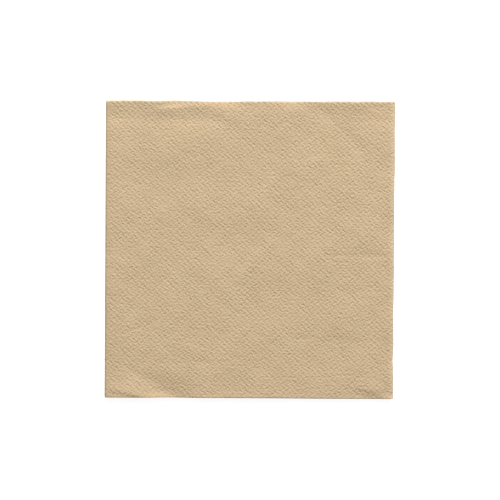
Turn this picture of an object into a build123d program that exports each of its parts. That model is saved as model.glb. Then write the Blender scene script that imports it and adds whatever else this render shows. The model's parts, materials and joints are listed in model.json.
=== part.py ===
"""Quarter-folded paper napkin, millimetres.

One sheet of two-ply tissue is folded in half and in half again, and lies flat.
+X points to the free side edges, +Y to the free top edges and +Z up through the leaves.
The origin is the middle of the footprint, on the underside.

The first fold is a hairpin along -Y: it doubles the sheet. The second fold turns the
doubled sheet over along -X. So the -X side shows one bend nested inside another, and
the -Y side shows two hairpins, one on top of the other.
"""

import os

from build123d import *

# Folded size
folded_width = 160.0
folded_depth = 165.0

# Thickness of one leaf, and the air that the folds trap
leaf = 0.28
gap_in_hairpin = 0.44
gap_between_pairs = 0.60

# A hand or a machine never folds edge to edge: how far the covered free edges stop short
inner_leaf_short = 0.8
lower_pair_short = 0.8

# Heights of the doubled sheet and of the whole stack
pair = 2 * leaf + gap_in_hairpin
stack = 2 * pair + gap_between_pairs

# Outer radii of the two folds, and where the flat leaves meet them
hairpin_radius = pair / 2
wrap_radius = stack / 2
hairpin_start = -folded_depth / 2 + hairpin_radius
wrap_start = -folded_width / 2 + wrap_radius

# Free edges
outer_leaf_end = folded_depth / 2
inner_leaf_end = outer_leaf_end - inner_leaf_short
upper_pair_end = folded_width / 2
lower_pair_end = upper_pair_end - lower_pair_short

os.makedirs("parts", exist_ok=True)


with BuildPart() as napkin:
    # Route of the outer leaf's outside face through the second fold
    with BuildLine(Plane.XZ) as second_fold:
        underside = Line((lower_pair_end, 0), (wrap_start, 0))
        wrap = RadiusArc(underside @ 1, (wrap_start, stack), wrap_radius)
        Line(wrap @ 1, (upper_pair_end, stack))

    # Section of the doubled sheet: outer leaf below, hairpin at -Y, inner leaf above
    with BuildSketch(Plane.YZ.offset(lower_pair_end)):
        with BuildLine():
            outer_leaf = Line((outer_leaf_end, 0), (hairpin_start, 0))
            hairpin_outside = RadiusArc(outer_leaf @ 1, (hairpin_start, pair), hairpin_radius)
            inner_leaf = Polyline(
                hairpin_outside @ 1,
                (inner_leaf_end, pair),
                (inner_leaf_end, pair - leaf),
                (hairpin_start, pair - leaf),
            )
            hairpin_inside = RadiusArc(inner_leaf @ 1, (hairpin_start, leaf), -gap_in_hairpin / 2)
            Polyline(hairpin_inside @ 1, (outer_leaf_end, leaf), outer_leaf @ 0)
        make_face()

    sweep(path=second_fold.line)

napkin.part.label = "napkin"
export_step(napkin.part, "parts/napkin.step")
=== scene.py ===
"""Quarter-folded paper napkin of soft embossed tissue, lying flat.

One closed mesh stands for the one sheet: four leaves, the hairpin fold along -Y, the
nested fold along -X, and the free edges along +X and +Y. All lengths are metres.
"""

import json
import math

import bmesh
import bpy
import numpy as np
from bpy.props import FloatProperty, FloatVectorProperty, IntProperty, PointerProperty
from mathutils import Vector
from mathutils.geometry import delaunay_2d_cdt
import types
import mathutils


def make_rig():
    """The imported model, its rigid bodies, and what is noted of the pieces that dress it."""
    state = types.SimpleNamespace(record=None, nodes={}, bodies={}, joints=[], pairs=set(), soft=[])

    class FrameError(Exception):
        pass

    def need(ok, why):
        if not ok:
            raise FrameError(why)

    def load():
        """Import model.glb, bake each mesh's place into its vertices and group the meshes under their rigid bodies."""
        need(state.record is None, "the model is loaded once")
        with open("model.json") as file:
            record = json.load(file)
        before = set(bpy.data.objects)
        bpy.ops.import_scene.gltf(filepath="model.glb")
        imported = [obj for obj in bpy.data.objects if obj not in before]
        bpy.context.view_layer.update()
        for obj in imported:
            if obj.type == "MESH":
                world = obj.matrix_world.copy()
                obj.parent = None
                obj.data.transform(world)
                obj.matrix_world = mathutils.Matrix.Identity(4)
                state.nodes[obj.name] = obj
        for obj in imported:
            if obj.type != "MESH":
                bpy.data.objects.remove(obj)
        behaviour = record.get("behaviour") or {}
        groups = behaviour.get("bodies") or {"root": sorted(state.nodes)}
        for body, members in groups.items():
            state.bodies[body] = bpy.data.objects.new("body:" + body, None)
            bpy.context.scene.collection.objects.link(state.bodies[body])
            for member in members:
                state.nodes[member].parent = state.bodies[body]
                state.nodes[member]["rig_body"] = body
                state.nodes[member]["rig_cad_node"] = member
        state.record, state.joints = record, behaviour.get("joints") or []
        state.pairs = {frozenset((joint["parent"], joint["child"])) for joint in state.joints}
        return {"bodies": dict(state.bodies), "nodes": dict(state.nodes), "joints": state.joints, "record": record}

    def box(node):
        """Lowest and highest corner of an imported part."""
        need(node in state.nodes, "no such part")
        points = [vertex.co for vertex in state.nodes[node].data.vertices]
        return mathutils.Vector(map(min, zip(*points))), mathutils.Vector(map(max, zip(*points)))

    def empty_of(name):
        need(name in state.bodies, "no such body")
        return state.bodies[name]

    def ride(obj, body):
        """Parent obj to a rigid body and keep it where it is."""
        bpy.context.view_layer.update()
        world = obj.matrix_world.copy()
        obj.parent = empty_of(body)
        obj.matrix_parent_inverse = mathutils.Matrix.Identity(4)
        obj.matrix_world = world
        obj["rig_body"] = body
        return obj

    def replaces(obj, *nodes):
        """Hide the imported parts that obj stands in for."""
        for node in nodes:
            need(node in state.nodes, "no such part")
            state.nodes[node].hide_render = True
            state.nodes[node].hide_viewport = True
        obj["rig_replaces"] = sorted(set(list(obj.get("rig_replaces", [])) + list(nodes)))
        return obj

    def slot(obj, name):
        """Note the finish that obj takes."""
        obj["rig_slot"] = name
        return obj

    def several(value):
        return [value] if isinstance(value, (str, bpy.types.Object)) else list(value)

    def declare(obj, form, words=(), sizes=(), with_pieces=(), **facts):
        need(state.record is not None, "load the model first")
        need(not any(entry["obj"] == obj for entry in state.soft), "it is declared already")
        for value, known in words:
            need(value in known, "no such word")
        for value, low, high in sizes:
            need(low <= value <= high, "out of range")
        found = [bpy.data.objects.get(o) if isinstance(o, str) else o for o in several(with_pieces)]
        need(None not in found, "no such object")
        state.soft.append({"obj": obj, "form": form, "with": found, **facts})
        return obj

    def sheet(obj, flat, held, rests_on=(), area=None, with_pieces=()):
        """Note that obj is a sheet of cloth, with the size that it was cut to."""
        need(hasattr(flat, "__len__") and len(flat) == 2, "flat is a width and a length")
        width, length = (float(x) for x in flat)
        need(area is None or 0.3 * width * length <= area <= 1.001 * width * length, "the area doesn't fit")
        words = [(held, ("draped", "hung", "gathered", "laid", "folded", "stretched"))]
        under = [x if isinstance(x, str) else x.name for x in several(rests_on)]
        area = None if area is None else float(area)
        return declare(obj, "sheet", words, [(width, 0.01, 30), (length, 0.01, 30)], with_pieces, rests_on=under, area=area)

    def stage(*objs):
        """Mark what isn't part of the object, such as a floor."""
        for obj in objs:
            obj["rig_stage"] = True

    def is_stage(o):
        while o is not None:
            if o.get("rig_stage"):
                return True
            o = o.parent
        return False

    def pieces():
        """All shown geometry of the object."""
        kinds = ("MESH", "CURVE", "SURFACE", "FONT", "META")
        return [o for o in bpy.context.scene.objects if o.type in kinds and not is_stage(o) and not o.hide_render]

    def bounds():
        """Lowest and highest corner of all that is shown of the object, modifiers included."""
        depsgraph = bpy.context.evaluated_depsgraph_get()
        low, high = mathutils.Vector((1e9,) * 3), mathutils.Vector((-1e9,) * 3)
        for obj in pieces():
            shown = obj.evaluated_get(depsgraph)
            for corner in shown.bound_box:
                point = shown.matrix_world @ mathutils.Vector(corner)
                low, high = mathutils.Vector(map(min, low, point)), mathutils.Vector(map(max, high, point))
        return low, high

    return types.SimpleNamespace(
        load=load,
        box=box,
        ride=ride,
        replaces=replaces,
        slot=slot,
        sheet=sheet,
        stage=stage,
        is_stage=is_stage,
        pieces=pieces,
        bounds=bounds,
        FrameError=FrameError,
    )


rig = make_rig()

bl_info = {
    "name": "Folded Paper Napkin",
    "version": (1, 0, 0),
    "blender": (4, 5, 0),
    "location": "View3D > Sidebar > Napkin",
    "description": "Folds an embossed tissue napkin and sets a plain studio for it",
    "category": "Add Mesh",
}

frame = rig.load()
CAD_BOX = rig.bounds()
LOW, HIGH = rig.box("napkin")

MM = 0.001
WHITE = (1, 1, 1, 1)
PIECE = "napkin_tissue"
SIZE_FILE = "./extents.json"

# The embossing is a basket of square tiles set on their corners, two tiles in a cell, with
# one dash in each. Lengths here are in tiles, where a tile's side is 1: half of a dash's
# straight middle, and the width of the soft side all round it.
HALF_DASH = 0.315
DASH_SIDE = 0.26
# The first dash's middle, in cells from the corner where the folds meet
FIRST_DASH = (0.17, 0.24)

# Mesh points of one tile, as (along the dash, across it), and the links that have to show:
# the dash's middle line, its two sides, and how these close round its ends
LINE_END = 0.283
SIDE = 0.177
TIP = 0.488
FLANK = 0.342
CORNER = (0.5, 0.5)
FINE_TILE = (
    (
        (LINE_END, 0),
        (-LINE_END, 0),
        (LINE_END, SIDE),
        (-LINE_END, SIDE),
        (-LINE_END, -SIDE),
        (LINE_END, -SIDE),
        (TIP, 0),
        (-TIP, 0),
        (0, FLANK),
        (0, -FLANK),
        CORNER,
    ),
    ((0, 1), (2, 3), (4, 5), (2, 6), (6, 5), (3, 7), (7, 4)),
)
PLAIN_TILE = (
    ((LINE_END, 0), (-LINE_END, 0), (0, FLANK), (0, -FLANK), CORNER),
    ((0, 1),),
)

# Distances between mesh points. The coarse faces have a first step for their border and a
# second for the rest.
BORDER_STEP = 1.3 * MM
BORDER_GAP = 0.35 * MM
COARSE_BORDER = 14 * MM
SHOWN_STEPS = (2.3 * MM, 4.2 * MM)
HIDDEN_STEPS = (2.8 * MM, 8.0 * MM)

# Valleys in the upper leaves, in millimetres from the corner where the folds meet: start,
# end, depth, and how far the sides reach on the left and right of the way. A ridge has a
# negative depth.
WRINKLES = (
    # The pucker at the near fold: a ridge, then a valley that runs out over the fold, with
    # a low ridge on the fold itself and a wide dip behind them
    ((4, 5), (26, -0.5), -0.60, 9.0, 2.2),
    ((12, 16.5), (45, 0), 0.50, 4.5, 8.0),
    ((31, 4), (46, -1.5), 1.15, 6.0, 2.4),
    ((24, -0.5), (41, -2), -0.55, 3.0, 2.0),
    ((4, 20), (62, 20), 0.20, 8.0, 8.0),
    # The near corner of the free side, with its tip turned up
    ((141, 1.5), (153, -1.2), 0.80, 5.0, 1.8),
    ((140, 6.5), (157, 2), -0.50, 9.0, 3.6),
    ((153, 3.4), (162, 2), 0.50, 2.4, 2.0),
    ((154, -1), (163, -1), -0.80, 2.2, 2.2),
    ((150, 11), (161, 5), 0.20, 4.0, 3.0),
    # Along the free top edge: a wide dip, with a crease that climbs to the edge
    ((-4, 155), (62, 153.5), 0.55, 12.0, 4.0),
    ((30, 161.8), (46, 164.4), 0.60, 2.2, 1.6),
    ((31, 160), (58, 163), -0.35, 1.8, 4.0),
    ((38, 164.8), (68, 165.4), 1.20, 2.0, 2.2),
    ((2, 157), (6, 157), 0.30, 5.0, 3.0),
    ((45, 156), (50, 156), 0.25, 5.0, 3.0),
    # The far corner of the free side
    ((118, 161), (142, 137), 0.42, 5.0, 6.0),
    ((136, 153.5), (158, 154), 0.25, 6.0, 4.0),
    ((110, 131), (124, 131.5), -0.20, 4.0, 5.0),
    # Soft marks of the stack that the napkin was pressed in
    ((126, 79.5), (163, 79), 0.25, 3.5, 2.0),
    ((-3, 79), (8, 79), 0.12, 3.0, 2.0),
    ((120, 58), (152, 60), 0.18, 7.0, 7.0),
    ((100, 33), (158, 31), 0.28, 9.0, 9.0),
    ((105, -6), (170, -6), 0.70, 40.0, 5.0),
)


# ---------------------------------------------------------------- settings


class NapkinSheetSettings(bpy.types.PropertyGroup):
    """Sizes of the tissue and its folds"""

    leaf: FloatProperty(
        name="Leaf Thickness",
        description="Thickness of one leaf of the two-ply tissue",
        default=0.28 * MM,
        unit="LENGTH",
    )
    hairpin_gap: FloatProperty(
        name="Hairpin Gap",
        description="Air inside each hairpin of the first fold",
        default=0.44 * MM,
        unit="LENGTH",
    )
    inner_leaf_short: FloatProperty(
        name="Inner Leaf Short",
        description="How far the inner leaves stop short of the outer leaves' top edge",
        default=0.8 * MM,
        unit="LENGTH",
    )
    lower_pair_short: FloatProperty(
        name="Lower Pair Short",
        description="How far the lower pair stops short of the upper pair's side edge",
        default=0.8 * MM,
        unit="LENGTH",
    )
    seed: IntProperty(
        name="Seed",
        description="Picks the uneven spots of the tissue",
        default=7,
    )


class NapkinEmbossSettings(bpy.types.PropertyGroup):
    """Sizes of the pressed dashes"""

    cell_width: FloatProperty(
        name="Cell Width",
        description="Distance across the napkin from one dash to the next alike",
        default=3.125 * MM,
        unit="LENGTH",
    )
    cell_depth: FloatProperty(
        name="Cell Depth",
        description="Distance up the napkin from one dash to the next alike",
        default=3.176 * MM,
        unit="LENGTH",
    )
    press: FloatProperty(
        name="Press",
        description="How deep the dashes are pressed into the tissue",
        default=0.07 * MM,
        unit="LENGTH",
    )
    uneven: FloatProperty(
        name="Uneven",
        description="Share by which the press differs from place to place",
        default=0.30,
        subtype="FACTOR",
    )


class NapkinFinishSettings(bpy.types.PropertyGroup):
    """Colours and fine relief of the tissue"""

    tissue: FloatVectorProperty(
        name="Tissue",
        description="Colour of the unbleached tissue",
        default=(0.60, 0.45, 0.28),
        subtype="COLOR",
        size=3,
    )
    # The lighter fibres' colour, which also paints the highlight along the free edges
    pale_fibre_and_edge_highlight: FloatVectorProperty(
        name="Pale Fibre",
        description="Colour of the lighter fibres",
        default=(0.68, 0.54, 0.37),
        subtype="COLOR",
        size=3,
    )
    dark_fibre: FloatVectorProperty(
        name="Dark Fibre",
        description="Colour of the darker fibres and specks",
        default=(0.46, 0.31, 0.17),
        subtype="COLOR",
        size=3,
    )
    crisp_press: FloatProperty(
        name="Crisp Press",
        description="Depth in millimetres that sharpens the pressed dashes",
        default=0.10,
    )
    patchy: FloatProperty(
        name="Patchy",
        description="How much the sharpened press differs from place to place",
        default=2.8,
    )
    crepe: FloatProperty(
        name="Crepe",
        description="Depth in millimetres of the fine crepe between the dashes",
        default=0.46,
    )
    fibre: FloatProperty(
        name="Fibre",
        description="Depth in millimetres of single fibres",
        default=0.07,
    )


class NapkinStageSettings(bpy.types.PropertyGroup):
    """Floor, lamp and camera"""

    floor: FloatVectorProperty(
        name="Floor",
        description="Colour of the plain floor",
        default=(0.86, 0.86, 0.86),
        subtype="COLOR",
        size=3,
    )
    floor_glow: FloatProperty(
        name="Floor Glow",
        description="White that the camera sees on the floor beyond its own colour",
        default=0.72,
    )
    key_power: FloatProperty(
        name="Key Power",
        description="Power of the large soft lamp",
        default=164.0,
        unit="POWER",
    )
    key_size: FloatProperty(
        name="Key Size",
        description="Width of the lamp's round face",
        default=1.2,
        unit="LENGTH",
    )
    key_distance: FloatProperty(
        name="Key Distance",
        description="How far the lamp hangs from the napkin",
        default=3.5,
        unit="LENGTH",
    )
    key_turn: FloatProperty(
        name="Key Turn",
        description="Where the lamp hangs round the napkin, from the free side edges",
        default=math.radians(78),
        subtype="ANGLE",
    )
    key_height: FloatProperty(
        name="Key Height",
        description="Angle of the lamp above the floor",
        default=math.radians(32),
        subtype="ANGLE",
    )
    sky_level: FloatProperty(
        name="Sky Level",
        description="Brightness of the even light from all round",
        default=0.33,
    )
    view_width: FloatProperty(
        name="View Width",
        description="Width of the floor that the camera takes in",
        default=277.0 * MM,
        unit="LENGTH",
    )
    lens: FloatProperty(
        name="Lens",
        description="Focal length of the camera",
        default=100.0,
        unit="CAMERA",
    )
    camera_roll: FloatProperty(
        name="Camera Roll",
        description="How far the camera is turned about its own view",
        default=math.radians(0.27),
        subtype="ANGLE",
    )


# ---------------------------------------------------------------- shape


def ease(low, high, value):
    """0 up to low, 1 from high, and smooth in between."""
    t = np.clip((value - low) / (high - low), 0, 1)
    return t * t * (3 - 2 * t)


class Ripples:
    """Smooth seeded unevenness of about unit size: many waves that cross at random."""

    def __init__(self, random, wavelength, waves=18, wave_height=math.inf):
        # Each wave is 0.7 to 1.6 times as long as the wavelength, and runs its own way
        turn = random.uniform(0, 2 * math.pi, waves)
        size = 2 * math.pi / (wavelength * random.uniform(0.7, 1.6, waves))
        self.along_x = size * np.cos(turn)
        self.along_y = size * np.sin(turn)
        self.along_z = 2 * math.pi / wave_height * random.uniform(0.8, 1.2, waves)
        self.start = random.uniform(0, 2 * math.pi, waves)
        self.scale = math.sqrt(2 / waves)

    def __call__(self, x, y, z=0.0):
        waves = (
            np.cos(x * a + y * b + z * c + d)
            for a, b, c, d in zip(self.along_x, self.along_y, self.along_z, self.start)
        )
        return self.scale * sum(waves)


class Folds:
    """The route of the sheet through its two folds.

    t runs from the lower pair's free side edge, round the nested fold, to the upper
    pair's free side edge. s runs from the outer leaf's free top edge, round the
    hairpin, to the inner leaf's free top edge.
    """

    def __init__(self, sheet):
        self.leaf = sheet.leaf
        self.pair = 2 * sheet.leaf + sheet.hairpin_gap
        self.stack = HIGH.z - LOW.z
        self.hairpin_radius = self.pair / 2
        self.wrap_radius = self.stack / 2
        self.hairpin_start = LOW.y + self.hairpin_radius
        self.wrap_start = LOW.x + self.wrap_radius
        self.outer_length = HIGH.y - self.hairpin_start
        self.inner_length = self.outer_length - sheet.inner_leaf_short
        self.upper_length = HIGH.x - self.wrap_start
        self.lower_length = self.upper_length - sheet.lower_pair_short
        self.hairpin_length = math.pi * self.hairpin_radius
        self.wrap_length = math.pi * self.wrap_radius

    def t_of(self, x, upper):
        """The route's t at x on the upper or the lower pair."""
        if upper:
            return self.lower_length + self.wrap_length + x - self.wrap_start
        return self.lower_length - (x - self.wrap_start)

    def s_of(self, y, inner):
        """The route's s at y on the inner or the outer leaf."""
        if inner:
            return self.outer_length + self.hairpin_length + y - self.hairpin_start
        return self.outer_length - (y - self.hairpin_start)

    def round_wrap(self, steps):
        """The places t round the nested fold, its two ends included."""
        return self.lower_length + self.wrap_length * np.linspace(0, 1, steps + 1)

    def round_hairpin(self, steps):
        """The places s round the hairpin, its two ends included."""
        return self.outer_length + self.hairpin_length * np.linspace(0, 1, steps + 1)

    def place(self, t, s, inside):
        """Places on the sheet's outside face or, for inside, on its other face."""
        # Round the hairpin, which gives y and the level above the pair's outer face
        radius = self.hairpin_radius - (self.leaf if inside else 0)
        past = s - self.outer_length - self.hairpin_length
        turn = np.pi * np.clip(1 + past / self.hairpin_length, 0, 1)
        y = self.hairpin_start - radius * np.sin(turn)
        y = y + np.clip(self.outer_length - s, 0, None) + np.clip(past, 0, None)
        level = self.hairpin_radius - radius * np.cos(turn)

        # Round the nested fold, where a higher level turns tighter
        radius = self.wrap_radius - level
        past = t - self.lower_length - self.wrap_length
        turn = np.pi * np.clip(1 + past / self.wrap_length, 0, 1)
        x = self.wrap_start - radius * np.sin(turn)
        x = x + np.clip(self.lower_length - t, 0, None) + np.clip(past, 0, None)
        z = self.wrap_radius - radius * np.cos(turn)
        return x, y, z


def fading(amount, away, reach):
    """An amount at an edge or fold that dies away over about the reach."""
    return amount * np.exp(-away / reach)


def valley(x, y, start, end, depth, left, right):
    """How far the tissue lifts at a valley, in metres. The valley is given in millimetres."""
    along_x, along_y = end[0] - start[0], end[1] - start[1]
    length = math.hypot(along_x, along_y)
    along_x, along_y = along_x / length, along_y / length
    past_x, past_y = (x - LOW.x) / MM - start[0], (y - LOW.y) / MM - start[1]
    along = past_x * along_x + past_y * along_y
    across = past_y * along_x - past_x * along_y
    # The bottom is rounded, narrow valleys less than wide ones, and both ends run out softly
    round_bottom = min(0.8, 0.3 * left, 0.3 * right)
    off = np.hypot(across, round_bottom) - round_bottom
    sides = np.exp(-off / (0.6 * np.where(across > 0, left, right)))
    run_out = min(0.35 * length, 6.0) + 1.0
    ends = ease(-run_out, run_out, along) * ease(-run_out, run_out, length - along)
    return -depth * MM * sides * ends


class Relaxed:
    """What soft tissue does once it is folded: it puffs, puckers, and its edges stray."""

    # Heights of the unevenness all over the top leaf, and the soft creases' width as a share
    # of their ripples' height
    COCKLE = 0.11 * MM
    SMALL_COCKLE = 0.030 * MM
    SOFT_CREASE = 0.07 * MM
    CREASE_WIDTH = 0.22

    # What the folds and the free edges add to the top leaf: a height and its reach
    SIDE_FOLD_SWELL = (0.30 * MM, 14 * MM)
    SIDE_FOLD_SHOULDER = (-0.45 * MM, 1.8 * MM)
    NEAR_FOLD_SWELL = (0.25 * MM, 12 * MM)
    FREE_SIDE_DROOP = (-0.45 * MM, 3.5 * MM)
    FREE_TOP_DROOP = (-0.15 * MM, 1.2 * MM)

    # The leaves below stop the top leaf from sinking further than this
    DEEPEST = 0.95 * MM

    # How the cut edges stray, and how far into the sheet this reaches
    EDGE_REACH = 7 * MM
    FLUTTER = 0.16 * MM
    STRAY = 0.10 * MM
    RAGGED = 0.05 * MM
    OUT_OF_SQUARE = 0.6 * MM

    # How far the free top edge stops short: by the fold, less past its crease, and slanting
    SHORT_BY_FOLD = 0.3 * MM
    LESS_PAST_CREASE = 0.15 * MM
    SHORT_SLANT = 0.6 * MM

    # How far the near fold is drawn in: all along, more at the pucker, less at the far end
    DRAWN_IN = 0.4 * MM
    DRAWN_AT_PUCKER = 0.2 * MM
    LESS_DRAWN = 0.15 * MM
    DRAWN_REACH = 8 * MM

    # Where these change, in millimetres from the side fold
    CREASE = (49, 56)
    PUCKER_MIDDLE = 33
    PUCKER_WIDTH = 9
    FAR_END = (90, 120)

    def __init__(self, folds, random):
        # Each face of a leaf goes along with its share of the top leaf's lift, and the air
        # between the leaves takes up the rest
        leaf, pair, stack = folds.leaf, folds.pair, folds.stack
        lower_pair = (0, leaf, pair - leaf, pair)
        upper_pair = (stack - pair, stack - pair + leaf, stack - leaf, stack)
        self.levels = lower_pair + upper_pair
        self.shares = (0, 0, 0.15, 0.15, 0.7, 0.7, 1, 1)
        self.cockle = Ripples(random, 34 * MM)
        self.small_cockle = Ripples(random, 11 * MM)
        self.soft_crease = Ripples(random, 19 * MM)
        self.flutter = Ripples(random, 24 * MM, wave_height=5 * MM)
        self.stray = Ripples(random, 17 * MM, wave_height=4 * MM)
        self.ragged = Ripples(random, 2.6 * MM, wave_height=3 * MM)

    def lift(self, x, y):
        """How far the top leaf stands above its folded height."""
        from_side_fold = x - LOW.x
        from_near_fold = y - LOW.y
        from_side = HIGH.x - x
        from_top = HIGH.y - y
        lift = self.COCKLE * self.cockle(x, y) + self.SMALL_COCKLE * self.small_cockle(x, y)
        # A net of soft creases runs wherever these ripples cross their middle height
        from_crease = self.soft_crease(x, y) / self.CREASE_WIDTH
        lift = lift - self.SOFT_CREASE * np.exp(-(from_crease**2))
        # The folds spring open a little behind rounded shoulders, and the free edges droop
        for away, (height, reach) in (
            (from_side_fold, self.SIDE_FOLD_SWELL),
            (from_side_fold, self.SIDE_FOLD_SHOULDER),
            (from_near_fold, self.NEAR_FOLD_SWELL),
            (from_side, self.FREE_SIDE_DROOP),
            (from_top, self.FREE_TOP_DROOP),
        ):
            lift = lift + fading(height, away, reach)
        for wrinkle in WRINKLES:
            lift = lift + valley(x, y, *wrinkle)
        sunk = -self.DEEPEST * (1 - np.exp(np.minimum(lift, 0) / self.DEEPEST))
        return np.where(lift < 0, sunk, lift)

    def __call__(self, x, y, z):
        """Where a place on the folded sheet moves to."""
        across = (x - LOW.x) / MM
        from_near_fold = y - LOW.y
        at_side = np.exp(-(((HIGH.x - x) / self.EDGE_REACH) ** 2))
        at_top = np.exp(-(((HIGH.y - y) / self.EDGE_REACH) ** 2))
        at_edge = 1 - (1 - at_side) * (1 - at_top)
        share = np.interp(z, self.levels, self.shares)
        lift = self.lift(x, y) + self.FLUTTER * at_edge * self.flutter(x, y, z)

        # The cut edges are a little ragged, and out of square with the folds
        stray = self.STRAY * self.stray(x, y, z) + self.RAGGED * self.ragged(x, y, z)
        out_of_square = self.OUT_OF_SQUARE * (1 - from_near_fold / (HIGH.y - LOW.y))
        past_crease = ease(*self.CREASE, across)
        slant = self.SHORT_SLANT * (HIGH.x - x) / (HIGH.x - LOW.x)
        top_short = self.SHORT_BY_FOLD + past_crease * (slant - self.LESS_PAST_CREASE)

        # The near fold is drawn in, most of all at its pucker
        pucker = np.exp(-(((across - self.PUCKER_MIDDLE) / self.PUCKER_WIDTH) ** 2))
        drawn_in = self.DRAWN_IN + self.DRAWN_AT_PUCKER * pucker
        drawn_in = drawn_in - self.LESS_DRAWN * ease(*self.FAR_END, across)

        new_x = x + at_side * (stray - out_of_square)
        new_y = y + at_top * (stray - top_short)
        new_y = new_y + fading(drawn_in, from_near_fold, self.DRAWN_REACH)
        return new_x, new_y, z + share * lift


class Dashes:
    """The pressed dashes.

    u and v count tiles along the embossing's two diagonals. Where a tile's u + v is even
    its dash lies along u, and in the next tile it lies along v.
    """

    def __init__(self, emboss):
        self.width = emboss.cell_width
        self.depth = emboss.cell_depth
        self.start_x = LOW.x + FIRST_DASH[0] * self.width
        self.start_y = LOW.y + FIRST_DASH[1] * self.depth

    def tiles(self, x, y):
        """The u and v of a place."""
        column = (x - self.start_x) / self.width
        row = (y - self.start_y) / self.depth
        return column - row, column + row

    def place(self, u, v):
        """The x and y of a u and v."""
        return self.start_x + (u + v) / 2 * self.width, self.start_y + (v - u) / 2 * self.depth

    def press(self, x, y):
        """1 along the middle of each dash, and 0 past its soft sides."""
        u, v = self.tiles(x, y)
        off_u, off_v = np.abs(u - np.round(u)), np.abs(v - np.round(v))
        rising = (np.round(u) + np.round(v)) % 2 == 1
        along = np.where(rising, off_v, off_u)
        across = np.where(rising, off_u, off_v)
        own = np.hypot(np.clip(along - HALF_DASH, 0, None), across)
        # The next tile's dash ends beside this one
        beside = np.hypot(along, 1 - HALF_DASH - across)
        return ease(0, 1, 1 - np.minimum(own, beside) / DASH_SIDE)

    def net(self, tile, low, high, margin):
        """A tile's points, repeated over the box from low to high, and their links."""
        points, links = np.array(tile[0], float), np.array(tile[1])
        corners = [self.tiles(x, y) for x in (low[0], high[0]) for y in (low[1], high[1])]
        first = np.floor(np.min(corners, 0)).astype(int) - 1
        last = np.ceil(np.max(corners, 0)).astype(int) + 1
        u, v = np.meshgrid(
            np.arange(first[0], last[0] + 1), np.arange(first[1], last[1] + 1), indexing="ij"
        )
        u, v = u.reshape(-1, 1), v.reshape(-1, 1)
        rising = (u + v) % 2 == 1
        x, y = self.place(
            u + np.where(rising, points[:, 1], points[:, 0]),
            v + np.where(rising, points[:, 0], points[:, 1]),
        )
        keep = (x > low[0] + margin) & (x < high[0] - margin)
        keep &= (y > low[1] + margin) & (y < high[1] - margin)
        number = np.cumsum(keep).reshape(keep.shape) - 1
        both = keep[:, links[:, 0]] & keep[:, links[:, 1]]
        ends = np.stack([number[:, links[:, 0]][both], number[:, links[:, 1]][both]], -1)
        return x[keep], y[keep], ends


def stretch(start, end, step):
    """Places from start to end, about a step apart."""
    return np.linspace(start, end, round((end - start) / step) + 1)


def coarse_lines(start, end, steps):
    """Places from start to end: the first step near both ends, and the second between."""
    near = stretch(start, start + COARSE_BORDER, steps[0])
    middle = stretch(start + COARSE_BORDER, end - COARSE_BORDER, steps[1])
    far = stretch(end - COARSE_BORDER, end, steps[0])
    return np.concatenate([near[:-1], middle, far[1:]])


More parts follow.
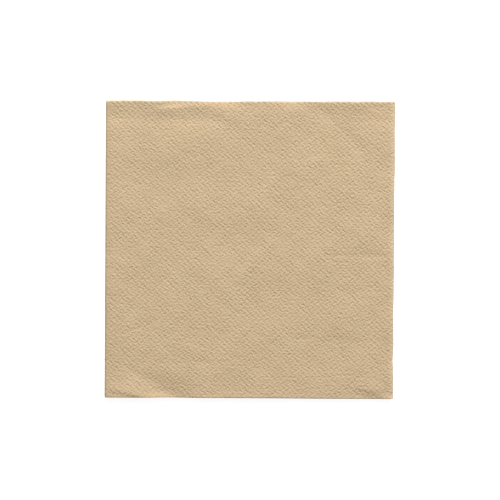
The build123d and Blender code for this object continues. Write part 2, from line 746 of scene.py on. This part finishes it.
class TissueMesh:
    """Collects the vertices and faces of the folded sheet."""

    def __init__(self, folds, relaxed):
        self.folds = folds
        self.relaxed = relaxed
        self.places = []
        self.faces = []
        self.count = 0

    def add(self, x, y, z, press=0.0):
        """Adds vertices at places on the folded sheet, and returns their numbers."""
        x, y, z = self.relaxed(x, y, z)
        z = z + press
        self.places.append(np.stack([x, y, z], -1).reshape(-1, 3))
        numbers = np.arange(x.size).reshape(x.shape) + self.count
        self.count += x.size
        return numbers

    def grid(self, t, s, inside):
        """Adds a net of vertices over the columns t and rows s."""
        t, s = np.meshgrid(t, s, indexing="ij")
        return self.add(*self.folds.place(t, s, inside))

    def fill(self, net):
        """Faces of four corners between all neighbours of a net."""
        a, b, c, d = net[:-1, :-1], net[1:, :-1], net[1:, 1:], net[:-1, 1:]
        self.faces += np.stack([a, b, c, d], -1).reshape(-1, 4).tolist()

    def embossed_face(self, dashes, tile, x_lines, y_lines, z, press):
        """Fills a flat outer leaf with pressed tiles, inside a border of the given places."""
        low, high = (x_lines[0], y_lines[0]), (x_lines[-1], y_lines[-1])
        # The border's places, once round from the low corner
        border_x = [x_lines, np.full(len(y_lines) - 1, high[0])]
        border_x += [x_lines[-2::-1], np.full(len(y_lines) - 2, low[0])]
        border_y = [np.full(len(x_lines), low[1]), y_lines[1:]]
        border_y += [np.full(len(x_lines) - 1, high[1]), y_lines[-2:0:-1]]
        border_x, border_y = np.concatenate(border_x), np.concatenate(border_y)
        x, y, links = dashes.net(tile, low, high, BORDER_GAP)
        links = (links + len(border_x)).tolist()
        x, y = np.concatenate([border_x, x]), np.concatenate([border_y, y])
        # Worked out in millimetres, and points closer than the nearness would be welded
        flat = [Vector(place) for place in (np.stack([x, y], -1) / MM).tolist()]
        nearness = 1e-5
        vertices, _, faces, origins, _, _ = delaunay_2d_cdt(flat, links, [], 0, nearness, True)
        if len(faces) == 0 or len(vertices) != len(flat):
            raise RuntimeError("The embossed face could not be divided into triangles")
        depth = press(x, y, high[0])
        numbers = self.add(x, y, np.full(x.shape, z), -depth if z > LOW.z else depth)
        own = np.array([origin[0] for origin in origins])
        self.faces += numbers[own[np.array(faces)]].tolist()

    def zip(self, row_a, at_a, row_b, at_b):
        """Joins two rows of vertices that run side by side, each with its places along the row."""
        i = j = 0
        while i < len(row_a) - 1 or j < len(row_b) - 1:
            step_a = i < len(row_a) - 1 and (
                j == len(row_b) - 1 or at_a[i] + at_a[i + 1] <= at_b[j] + at_b[j + 1]
            )
            if step_a:
                self.faces.append([int(row_a[i]), int(row_a[i + 1]), int(row_b[j])])
                i += 1
            else:
                self.faces.append([int(row_a[i]), int(row_b[j + 1]), int(row_b[j])])
                j += 1

    def to_object(self, name):
        """Welds the parts into one closed mesh."""
        mesh = bpy.data.meshes.new(name)
        mesh.from_pydata(np.concatenate(self.places).tolist(), [], self.faces)
        work = bmesh.new()
        work.from_mesh(mesh)
        bmesh.ops.remove_doubles(work, verts=work.verts, dist=0.001 * MM)
        bmesh.ops.recalc_face_normals(work, faces=work.faces)
        if any(not edge.is_manifold for edge in work.edges):
            raise RuntimeError("The folded sheet is not closed")
        work.to_mesh(mesh)
        work.free()
        mesh.shade_smooth()
        piece = bpy.data.objects.new(name, mesh)
        bpy.context.collection.objects.link(piece)
        return piece


def build_tissue(sheet, emboss):
    """Makes the whole folded sheet as one closed mesh."""
    random = np.random.default_rng(sheet.seed)
    folds = Folds(sheet)
    tissue = TissueMesh(folds, Relaxed(folds, random))
    dashes = Dashes(emboss)
    uneven = Ripples(random, 5 * MM, waves=30)

    def press(x, y, side_end):
        """Depth of the press, which dies away towards the folds and the cut edges."""
        fade = (
            ease(0, 2.0 * MM, x - folds.wrap_start)
            * ease(0, 1.6 * MM, y - folds.hairpin_start)
            * ease(0, 3.0 * MM, side_end - x)
            * ease(0, 1.2 * MM, HIGH.y - y)
        )
        least, most = 0.3, 1.5
        varied = np.clip(1 + emboss.uneven * uneven(x, y), least, most)
        return emboss.press * dashes.press(x, y) * fade * varied

    # The outer leaves: the top one is seen, and the underside lies on the table
    lower_end = HIGH.x - sheet.lower_pair_short
    upper_x = stretch(folds.wrap_start, HIGH.x, BORDER_STEP)
    lower_x = stretch(folds.wrap_start, lower_end, BORDER_STEP)
    outer_y = stretch(folds.hairpin_start, HIGH.y, BORDER_STEP)
    tissue.embossed_face(dashes, FINE_TILE, upper_x, outer_y, HIGH.z, press)
    tissue.embossed_face(dashes, PLAIN_TILE, lower_x, outer_y, LOW.z, press)

    # The nested fold's outside, and the hairpin's outside along the whole sheet
    wrap = folds.round_wrap(12)
    hairpin = folds.round_hairpin(8)
    outer_s = folds.s_of(outer_y[::-1], False)
    tissue.fill(tissue.grid(wrap, outer_s, False))
    fine_t = np.concatenate(
        [folds.t_of(lower_x[::-1], False), wrap[1:-1], folds.t_of(upper_x, True)]
    )
    tissue.fill(tissue.grid(fine_t, hairpin[:-1], False))

    # The plain inner leaves and the inside of the whole sheet
    upper_coarse = coarse_lines(folds.wrap_start, HIGH.x, SHOWN_STEPS)
    lower_coarse = coarse_lines(folds.wrap_start, lower_end, HIDDEN_STEPS)
    coarse_wrap = folds.round_wrap(8)[1:-1]
    coarse_t = np.concatenate(
        [folds.t_of(lower_coarse[::-1], False), coarse_wrap, folds.t_of(upper_coarse, True)]
    )
    outer_coarse = coarse_lines(folds.hairpin_start, HIGH.y, SHOWN_STEPS)
    inner_end = HIGH.y - sheet.inner_leaf_short
    inner_coarse = coarse_lines(folds.hairpin_start, inner_end, HIDDEN_STEPS)
    inner_s = folds.s_of(inner_coarse, True)
    inner = tissue.grid(coarse_t, inner_s, False)
    tissue.fill(inner)
    fine_row = tissue.grid(fine_t, hairpin[-2:-1], False)[:, 0]
    tissue.zip(fine_row, fine_t, inner[:, 0], coarse_t)

    coarse_hairpin = folds.round_hairpin(6)[1:-1]
    inside_s = np.concatenate([folds.s_of(outer_coarse[::-1], False), coarse_hairpin, inner_s])
    inside = tissue.grid(coarse_t, inside_s, True)
    tissue.fill(inside)

    # The cut edges
    outside_s = np.concatenate([outer_s, hairpin[1:-1], inner_s])
    for column, t in ((0, coarse_t[:1]), (-1, coarse_t[-1:])):
        outside_row = tissue.grid(t, outside_s, False)[0]
        tissue.zip(outside_row, outside_s, inside[column], inside_s)
    top_row = tissue.grid(fine_t, outer_s[:1], False)[:, 0]
    tissue.zip(top_row, fine_t, inside[:, 0], coarse_t)
    tissue.zip(inner[:, -1], coarse_t, inside[:, -1], coarse_t)
    return tissue.to_object(PIECE)


# ---------------------------------------------------------------- shader maths


class Value:
    """A socket that takes part in Python sums, each of which adds a Math node."""

    def __init__(self, nodes, socket):
        self.nodes = nodes
        self.socket = socket

    def math(self, operation, first, second=0.0):
        return self.nodes.add("ShaderNodeMath", {"operation": operation}, {0: first, 1: second})

    def __add__(self, other):
        return self.math("ADD", self, other)

    def __radd__(self, other):
        return self.math("ADD", other, self)

    def __sub__(self, other):
        return self.math("SUBTRACT", self, other)

    def __rsub__(self, other):
        return self.math("SUBTRACT", other, self)

    def __mul__(self, other):
        return self.math("MULTIPLY", self, other)

    def __rmul__(self, other):
        return self.math("MULTIPLY", other, self)

    def __mod__(self, other):
        return self.math("MODULO", self, other)

    def __pow__(self, other):
        return self.math("POWER", self, other)

    def __abs__(self):
        return self.math("ABSOLUTE", self)

    def __round__(self):
        return self.math("ROUND", self)

    def at_least(self, other):
        return self.math("MAXIMUM", self, other)

    def at_most(self, other):
        return self.math("MINIMUM", self, other)

    def eased(self, low, high):
        """0 up to low, 1 from high, and smooth in between."""
        return self.nodes.add(
            "ShaderNodeMapRange",
            {"interpolation_type": "SMOOTHSTEP", "clamp": True},
            {"Value": self, "From Min": low, "From Max": high},
        )


class Nodes:
    """Adds the nodes of one material or world."""

    def __init__(self, owner):
        self.owner = owner
        owner.use_nodes = True
        self.tree = owner.node_tree
        self.tree.nodes.clear()

    def add(self, kind, settings=None, values=None, output=0):
        """Adds a node: its settings first, then the values or links of its sockets."""
        node = self.tree.nodes.new(kind)
        for name, setting in (settings or {}).items():
            setattr(node, name, setting)
        for socket, value in (values or {}).items():
            if isinstance(value, Value):
                self.tree.links.new(value.socket, node.inputs[socket])
            else:
                node.inputs[socket].default_value = value
        return Value(self, node.outputs[output]) if node.outputs else None

    def noise(self, at, wavelength, detail=2.0):
        """Noise of a wavelength in metres, about 0.5 on the whole."""
        return self.add(
            "ShaderNodeTexNoise",
            {"noise_dimensions": "3D"},
            {"Vector": at, "Scale": 1 / wavelength, "Detail": detail},
        )

    def stretched(self, at, along_x, along_y):
        """A place whose x and y are drawn out, for marks that run one way."""
        return self.add(
            "ShaderNodeVectorMath",
            {"operation": "DIVIDE"},
            {0: at, 1: (along_x, along_y, 1.0)},
        )

    def mix(self, factor, first, second):
        """A blend of two colours."""
        return self.add(
            "ShaderNodeMix",
            {"data_type": "RGBA"},
            {"Factor": factor, 6: first, 7: second},
            output=2,
        )

    def seen(self):
        """1 where the camera looks, straight or by a reflection or through glass."""
        rays = ("Is Camera Ray", "Is Glossy Ray", "Is Transmission Ray")
        camera, glossy, clear = (self.add("ShaderNodeLightPath", output=ray) for ray in rays)
        return camera + glossy + clear


def rgba(colour):
    """A colour with nothing see-through about it."""
    return (*colour, 1.0)


def dash_press(x, y, emboss):
    """The press of the dashes over the surface, worked out as Dashes.press does."""
    first_x = LOW.x + FIRST_DASH[0] * emboss.cell_width
    first_y = LOW.y + FIRST_DASH[1] * emboss.cell_depth
    column = (x - first_x) * (1 / emboss.cell_width)
    row = (y - first_y) * (1 / emboss.cell_depth)
    u, v = column - row, column + row
    home_u, home_v = round(u), round(v)
    rising = abs((home_u + home_v) % 2)
    off_u, off_v = abs(u - home_u), abs(v - home_v)
    along = off_u + (off_v - off_u) * rising
    across = off_v + (off_u - off_v) * rising
    past = (along - HALF_DASH).at_least(0)
    own = past * past + across * across
    gap = 1 - HALF_DASH - across
    beside = along * along + gap * gap
    away = own.at_most(beside) ** 0.5
    return away.eased(DASH_SIDE, 0)


def tissue_material(finish, emboss):
    """Matte unbleached tissue: pressed dashes, fine crepe, paler and darker fibres, and a painted highlight along the
    free edges.
    """
    nodes = Nodes(bpy.data.materials.new("unbleached_tissue"))
    at = nodes.add("ShaderNodeTexCoord", output="Object")
    apart = nodes.add("ShaderNodeSeparateXYZ", values={0: at})
    x, y = (Value(nodes, apart.socket.node.outputs[axis]) for axis in ("X", "Y"))

    # Heights in millimetres. The sharp press dies away at the folds and the free side
    fade = (x - LOW.x).eased(0.6 * MM, 3.2 * MM) * (y - LOW.y).eased(0.3 * MM, 2.0 * MM)
    fade = fade * (HIGH.x - x).eased(-2.0 * MM, 3.5 * MM)
    varied = (nodes.noise(at, 3.5 * MM, 1.0) - 0.5) * finish.patchy + 1
    dashes = dash_press(x, y, emboss) * varied.at_least(0.1) * fade
    crepe = nodes.noise(at, 1.25 * MM, 3.0)
    fibre_width, fibre_stretch = 0.35 * MM, 5.0
    fibres_up = nodes.noise(nodes.stretched(at, 1.0, fibre_stretch), fibre_width)
    fibres_across = nodes.noise(nodes.stretched(at, fibre_stretch, 1.0), fibre_width)
    height = crepe * finish.crepe - dashes * finish.crisp_press
    height = height + (fibres_up + fibres_across) * finish.fibre
    bump = nodes.add("ShaderNodeBump", values={"Distance": MM, "Height": height})

    # Colours, from the widest marks to the smallest
    cloud = nodes.noise(at, 14 * MM, 3.0).eased(0.3, 0.7)
    colour = nodes.mix(cloud * 0.12, rgba(finish.tissue), rgba(finish.dark_fibre))
    colour = nodes.mix(fibres_up.eased(0.52, 0.75) * 0.5, colour, rgba(finish.pale_fibre_and_edge_highlight))
    colour = nodes.mix(fibres_across.eased(0.58, 0.78) * 0.35, colour, rgba(finish.dark_fibre))
    # Painted highlight: a paler band along the free side and top edges, which face the lamp
    painted_edge_highlight = (HIGH.x - x).eased(4.0 * MM, 0) * 0.7 + (HIGH.y - y).eased(1.8 * MM, 0.6 * MM)
    colour = nodes.mix(painted_edge_highlight.at_most(1), colour, rgba(finish.pale_fibre_and_edge_highlight))
    speck = nodes.noise(at, 0.9 * MM, 1.0).eased(0.74, 0.78)
    colour = nodes.mix(speck * 0.3, colour, rgba(finish.dark_fibre))
    surface = nodes.add(
        "ShaderNodeBsdfPrincipled",
        values={
            "Base Color": colour,
            "Roughness": 0.95,
            "Specular IOR Level": 0.2,
            "Normal": bump,
        },
    )
    nodes.add("ShaderNodeOutputMaterial", values={"Surface": surface})
    return nodes.owner


def floor_material(stage):
    """A matte floor that the camera sees as white, and that keeps shadows."""
    nodes = Nodes(bpy.data.materials.new("pale_floor"))
    matte = nodes.add("ShaderNodeBsdfDiffuse", values={"Color": rgba(stage.floor)})
    glow = nodes.add("ShaderNodeEmission", values={"Strength": nodes.seen() * stage.floor_glow})
    both = nodes.add("ShaderNodeAddShader", values={0: matte, 1: glow})
    nodes.add("ShaderNodeOutputMaterial", values={"Surface": both})
    return nodes.owner


def white_world(stage):
    """Even light from all round, which the camera sees as white."""
    nodes = Nodes(bpy.data.worlds.new("even_light"))
    light = nodes.add("ShaderNodeBackground", values={"Color": WHITE, "Strength": stage.sky_level})
    white = nodes.add("ShaderNodeBackground", values={"Color": WHITE, "Strength": 1.0})
    both = nodes.add("ShaderNodeMixShader", values={0: nodes.seen(), 1: light, 2: white})
    nodes.add("ShaderNodeOutputWorld", values={"Surface": both})
    return nodes.owner


# ---------------------------------------------------------------- operators


class NAPKIN_OT_fold_tissue(bpy.types.Operator):
    """Fold the embossed sheet in half and in half again"""

    bl_idname = "napkin.fold_tissue"
    bl_label = "Fold Napkin"
    bl_options = {"REGISTER", "UNDO"}

    def execute(self, context):
        scene = context.scene
        sheet, emboss = scene.napkin_sheet, scene.napkin_emboss
        tissue = build_tissue(sheet, emboss)
        tissue.data.materials.append(tissue_material(scene.napkin_finish, emboss))
        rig.ride(tissue, "root")
        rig.replaces(tissue, "napkin")
        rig.slot(tissue, "tissue")
        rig.sheet(tissue, flat=(0.320, 0.330), held="folded")
        return {"FINISHED"}


class NAPKIN_OT_set_stage(bpy.types.Operator):
    """Lay the floor, hang the lamp and set the camera above the napkin"""

    bl_idname = "napkin.set_stage"
    bl_label = "Set Stage"
    bl_options = {"REGISTER", "UNDO"}

    def execute(self, context):
        stage = context.scene.napkin_stage
        self.lay_floor(context, stage)
        self.hang_lamp(context, stage)
        self.set_camera(context, stage)
        context.scene.world = white_world(stage)
        context.scene.view_settings.view_transform = "Standard"
        return {"FINISHED"}

    def lay_floor(self, context, stage):
        """Adds the floor."""
        # Just below the napkin, so that the two never share a plane
        reach, level = 6.0, -0.05 * MM
        corners = [(-reach, -reach), (reach, -reach), (reach, reach), (-reach, reach)]
        mesh = bpy.data.meshes.new("floor")
        mesh.from_pydata([(x, y, level) for x, y in corners], [], [(0, 1, 2, 3)])
        mesh.materials.append(floor_material(stage))
        floor = bpy.data.objects.new("floor", mesh)
        context.collection.objects.link(floor)
        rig.stage(floor)

    def hang_lamp(self, context, stage):
        """Adds the large soft lamp, turned to the napkin."""
        lamp = bpy.data.lights.new("key_lamp", "AREA")
        lamp.shape = "DISK"
        lamp.size = stage.key_size
        lamp.energy = stage.key_power
        key = bpy.data.objects.new("key_lamp", lamp)
        out = stage.key_distance * math.cos(stage.key_height)
        key.location = (
            out * math.cos(stage.key_turn),
            out * math.sin(stage.key_turn),
            stage.key_distance * math.sin(stage.key_height),
        )
        key.rotation_euler = (-Vector(key.location)).to_track_quat("-Z", "Y").to_euler()
        context.collection.objects.link(key)

    def set_camera(self, context, stage):
        """Adds the camera."""
        data = bpy.data.cameras.new("camera")
        data.lens = stage.lens
        camera = bpy.data.objects.new("camera", data)
        # Straight above, with the napkin a hair off the middle of the view
        height = stage.view_width * stage.lens / data.sensor_width
        camera.location = (0.05 * MM, -0.26 * MM, height)
        camera.rotation_euler = (0, 0, stage.camera_roll)
        context.collection.objects.link(camera)
        context.scene.camera = camera


class NAPKIN_PT_panel(bpy.types.Panel):
    """Lists the napkin's steps"""

    bl_label = "Napkin"
    bl_idname = "NAPKIN_PT_panel"
    bl_space_type = "VIEW_3D"
    bl_region_type = "UI"
    bl_category = "Napkin"

    def draw(self, context):
        layout = self.layout
        layout.operator(NAPKIN_OT_fold_tissue.bl_idname)
        layout.operator(NAPKIN_OT_set_stage.bl_idname)
        for name in SETTINGS:
            box = layout.box()
            settings = getattr(context.scene, name)
            for key in settings.bl_rna.properties.keys():
                if key not in ("rna_type", "name"):
                    box.prop(settings, key)


SETTINGS = {
    "napkin_sheet": NapkinSheetSettings,
    "napkin_emboss": NapkinEmbossSettings,
    "napkin_finish": NapkinFinishSettings,
    "napkin_stage": NapkinStageSettings,
}
CLASSES = (*SETTINGS.values(), NAPKIN_OT_fold_tissue, NAPKIN_OT_set_stage, NAPKIN_PT_panel)


def register():
    for cls in CLASSES:
        bpy.utils.register_class(cls)
    for name, cls in SETTINGS.items():
        setattr(bpy.types.Scene, name, PointerProperty(type=cls))


def unregister():
    for name in SETTINGS:
        delattr(bpy.types.Scene, name)
    for cls in reversed(CLASSES):
        bpy.utils.unregister_class(cls)


def main():
    """Makes the napkin and its stage, and writes how large both models are."""
    register()
    bpy.ops.napkin.fold_tissue()
    bpy.ops.napkin.set_stage()
    sizes = {
        "cad": [list(corner) for corner in CAD_BOX],
        "visual": [list(corner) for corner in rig.bounds()],
    }
    with open(SIZE_FILE, "w") as file:
        json.dump(sizes, file, indent=1)


if __name__ == "__main__":
    main()
